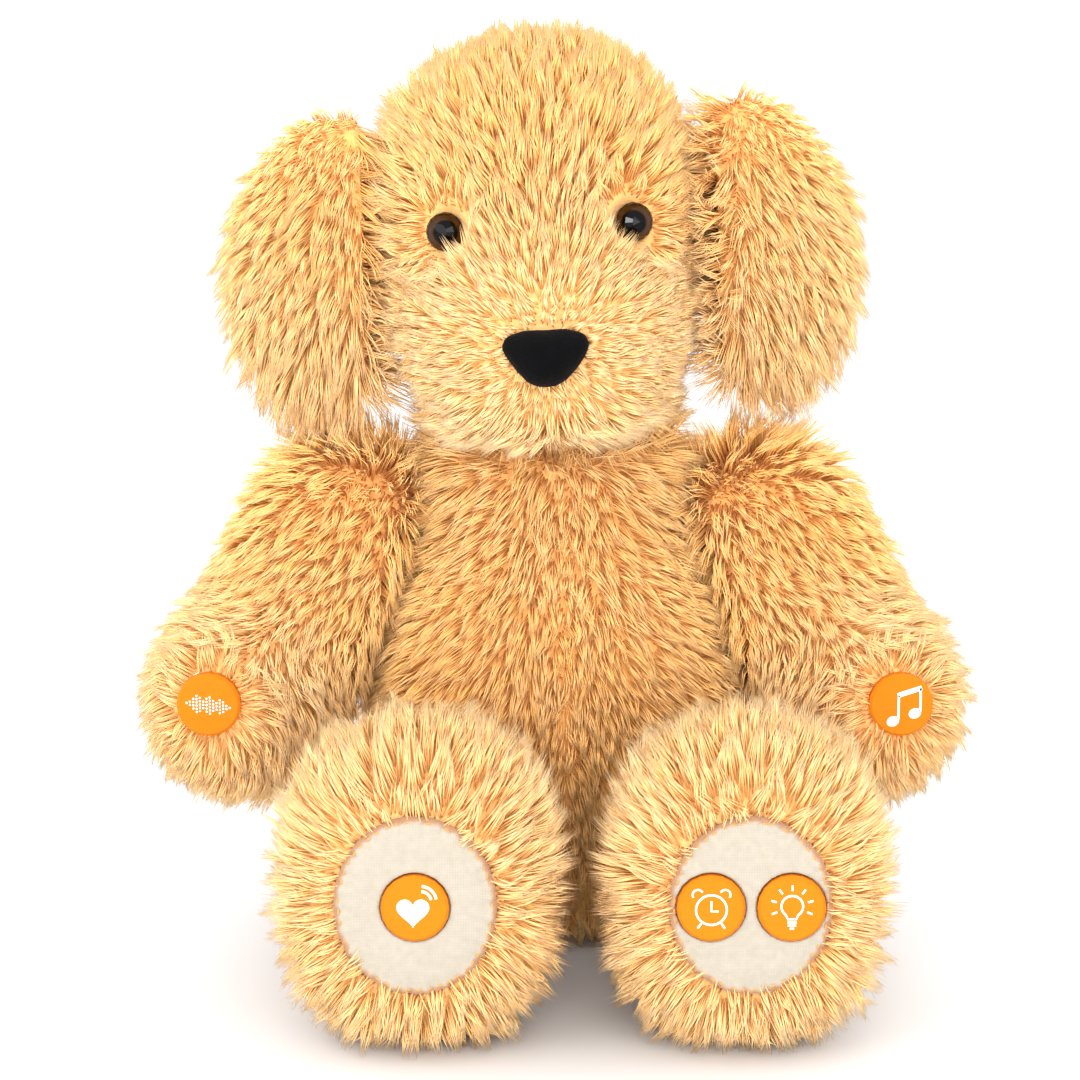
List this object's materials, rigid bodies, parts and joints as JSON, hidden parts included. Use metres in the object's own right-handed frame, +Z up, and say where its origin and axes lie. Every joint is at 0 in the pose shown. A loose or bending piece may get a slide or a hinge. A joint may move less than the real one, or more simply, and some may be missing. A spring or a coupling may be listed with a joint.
{
  "type": "sitting plush puppy",
  "caption": "Sitting long-pile plush puppy with hanging ears, turning head, swinging limbs and round push buttons set into its hands and soles.",
  "frame": {"origin": "on the floor, under the middle of the whole toy", "axes": "+Z up, the puppy looks along -Y, so its own left side is +X"},
  "size_m": [0.2685, 0.2609, 0.2967],
  "materials": {
    "golden_fur": "long-pile plush, golden",
    "pale_fur": "long-pile plush, cream gold",
    "stuffing": "polyester fibre",
    "canvas": "plain woven",
    "hook_and_loop": "hook and loop tape",
    "sole_linen": "plain weave linen",
    "orange_print": "printed satin disc",
    "eye_plastic": "polished amber brown",
    "nose_flock": "flocked black",
    "white_plastic": "moulded",
    "black_plastic": "moulded",
    "green_board": "solder mask",
    "battery_sleeve": "printed sleeve",
    "steel": "zinc plated"
  },
  "bodies": {
    "torso": {"torso_front_left_panel": "golden_fur", "torso_front_right_panel": "golden_fur", "torso_back_left_panel": "golden_fur", "torso_back_right_panel": "golden_fur", "torso_stuffing": "stuffing", "seat_bean_bag": "canvas", "closure_loop_tape": "hook_and_loop", "closure_hook_tape": "hook_and_loop", "sound_box_front": "white_plastic", "sound_box_back": "white_plastic", "battery_door": "white_plastic", "night_light_lens": "white_plastic", "speaker": "black_plastic", "circuit_board": "green_board", "battery_door_screw": "steel", "battery_1": "battery_sleeve", "battery_2": "battery_sleeve", "battery_3": "battery_sleeve"},
    "neck": {"neck_stuffing": "stuffing"},
    "head": {"head_left_panel": "golden_fur", "head_centre_panel": "golden_fur", "head_right_panel": "golden_fur", "muzzle_panel": "pale_fur", "head_stuffing": "stuffing", "left_eye": "eye_plastic", "right_eye": "eye_plastic", "left_eye_washer": "white_plastic", "right_eye_washer": "white_plastic", "nose_washer": "white_plastic", "nose": "nose_flock"},
    "left_ear": {"left_ear_front_panel": "golden_fur", "left_ear_back_panel": "pale_fur"},
    "left_arm": {"left_arm_outer_panel": "golden_fur", "left_arm_inner_panel": "golden_fur", "left_arm_stuffing": "stuffing", "left_hand_switch": "white_plastic"},
    "left_hand_button": {"left_hand_button": "orange_print"},
    "left_leg": {"left_leg_upper_panel": "pale_fur", "left_leg_lower_panel": "pale_fur", "left_leg_stuffing": "stuffing", "left_sole_pad": "sole_linen", "left_foot_inner_switch": "white_plastic", "left_foot_outer_switch": "white_plastic"},
    "right_ear": {"right_ear_front_panel": "golden_fur", "right_ear_back_panel": "pale_fur"},
    "right_arm": {"right_arm_outer_panel": "golden_fur", "right_arm_inner_panel": "golden_fur", "right_arm_stuffing": "stuffing", "right_hand_switch": "white_plastic"},
    "right_hand_button": {"right_hand_button": "orange_print"},
    "right_leg": {"right_leg_upper_panel": "pale_fur", "right_leg_lower_panel": "pale_fur", "right_leg_stuffing": "stuffing", "right_sole_pad": "sole_linen", "right_foot_switch": "white_plastic"},
    "left_foot_inner_button": {"left_foot_inner_button": "orange_print"},
    "left_foot_outer_button": {"left_foot_outer_button": "orange_print"},
    "right_foot_button": {"right_foot_button": "orange_print"},
    "tail": {"tail": "golden_fur"}
  },
  "joints": [
    {"name": "head_turn", "type": "hinge", "parent": "torso", "child": "neck", "pos_m": [-0.0014, 0.0275, 0.171], "axis": [0, 0, 1], "range_deg": [-30, 30]},
    {"name": "head_nod", "type": "hinge", "parent": "neck", "child": "head", "pos_m": [-0.0014, 0.0275, 0.171], "axis": [1, 0, 0], "range_deg": [-10, 10]},
    {"name": "left_ear_lift", "type": "hinge", "parent": "head", "child": "left_ear", "pos_m": [0.04309, 0.0175, 0.27747], "axis": [0, -1, 0], "range_deg": [0, 60]},
    {"name": "right_ear_lift", "type": "hinge", "parent": "head", "child": "right_ear", "pos_m": [-0.05677, 0.0175, 0.27224], "axis": [0, 1, 0], "range_deg": [0, 60]},
    {"name": "left_arm_swing", "type": "hinge", "parent": "torso", "child": "left_arm", "pos_m": [0.04401, 0.0215, 0.138], "axis": [0.9397, 0, 0.342], "range_deg": [-20, 40]},
    {"name": "right_arm_swing", "type": "hinge", "parent": "torso", "child": "right_arm", "pos_m": [-0.04399, 0.0215, 0.138], "axis": [-0.9397, 0, 0.342], "range_deg": [-40, 20]},
    {"name": "left_leg_raise", "type": "hinge", "parent": "torso", "child": "left_leg", "pos_m": [0.0496, -0.0185, 0.033], "axis": [-1, 0, 0], "range_deg": [0, 20]},
    {"name": "right_leg_raise", "type": "hinge", "parent": "torso", "child": "right_leg", "pos_m": [-0.0344, -0.0185, 0.033], "axis": [-1, 0, 0], "range_deg": [0, 20]},
    {"name": "tail_wag", "type": "hinge", "parent": "torso", "child": "tail", "pos_m": [0.0066, 0.0855, 0.028], "axis": [0, 0, 1], "range_deg": [-25, 25]},
    {"name": "left_hand_press", "type": "slide", "parent": "left_arm", "child": "left_hand_button", "axis": [0, 1, 0], "range_m": [0, 0.0015], "stiffness_N_per_m": 1300},
    {"name": "right_hand_press", "type": "slide", "parent": "right_arm", "child": "right_hand_button", "axis": [0, 1, 0], "range_m": [0, 0.0015], "stiffness_N_per_m": 1300},
    {"name": "left_foot_inner_press", "type": "slide", "parent": "left_leg", "child": "left_foot_inner_button", "axis": [0, 1, 0], "range_m": [0, 0.0015], "stiffness_N_per_m": 1300},
    {"name": "left_foot_outer_press", "type": "slide", "parent": "left_leg", "child": "left_foot_outer_button", "axis": [0, 1, 0], "range_m": [0, 0.0015], "stiffness_N_per_m": 1300},
    {"name": "right_foot_press", "type": "slide", "parent": "right_leg", "child": "right_foot_button", "axis": [0, 1, 0], "range_m": [0, 0.0015], "stiffness_N_per_m": 1300}
  ]
}
